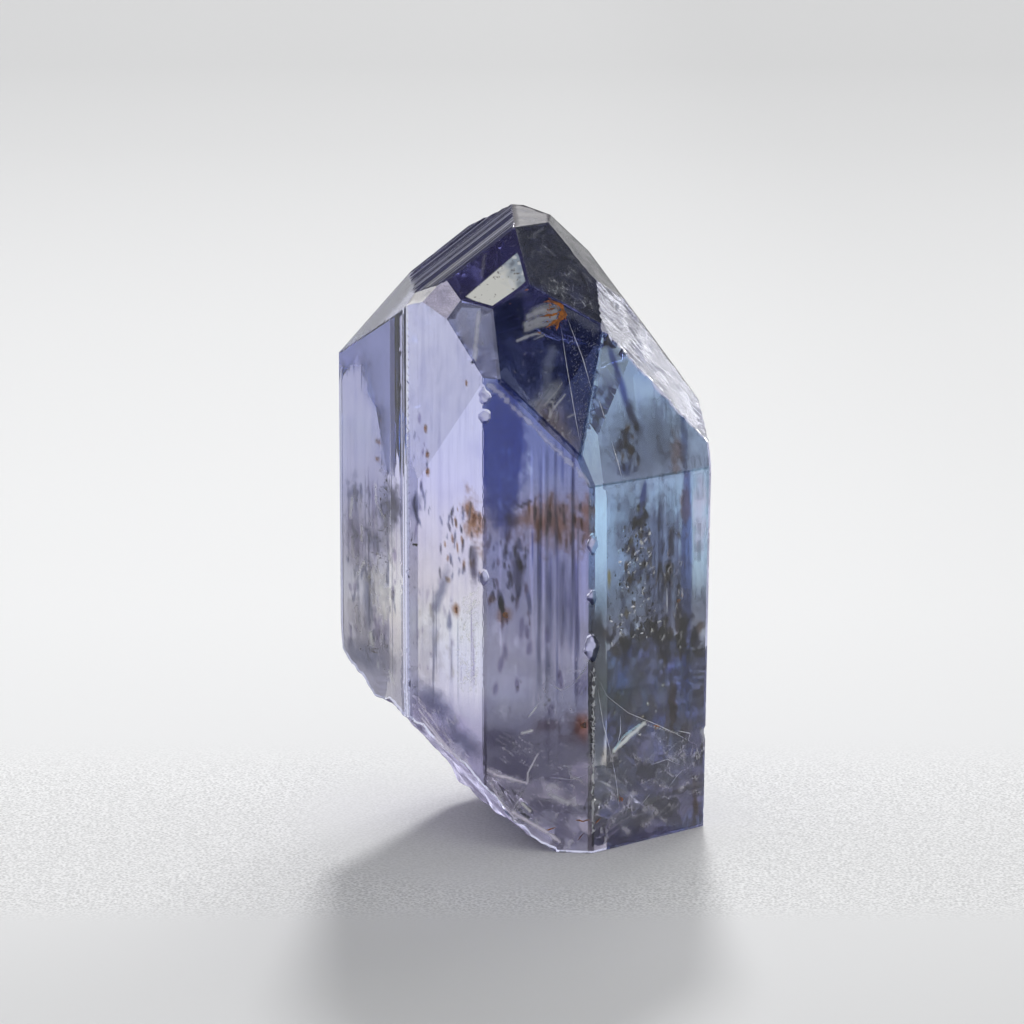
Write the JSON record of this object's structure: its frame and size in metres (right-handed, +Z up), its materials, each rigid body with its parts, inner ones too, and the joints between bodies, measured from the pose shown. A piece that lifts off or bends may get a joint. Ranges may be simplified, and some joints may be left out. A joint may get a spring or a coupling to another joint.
{
  "type": "rough tanzanite crystal",
  "caption": "Blocky prismatic see-through gem crystal with sloping growth faces at the top, standing on a small flat spot in its slanting broken base.",
  "frame": {"origin": "middle of the crystal's bounding box, on the plane of the flat spot that it rests on", "axes": "+Z up along the prism faces, -Y towards the widest clear faces, +X to the right as seen from that side"},
  "size_m": [0.0192, 0.0164, 0.0319],
  "materials": {
    "tanzanite": "clear violet-blue gem material, glossy natural growth faces, fine upright growth lines, glassy shell-like fracture at the base"
  },
  "bodies": {
    "root": {"tanzanite_crystal": "tanzanite"}
  },
  "joints": []
}
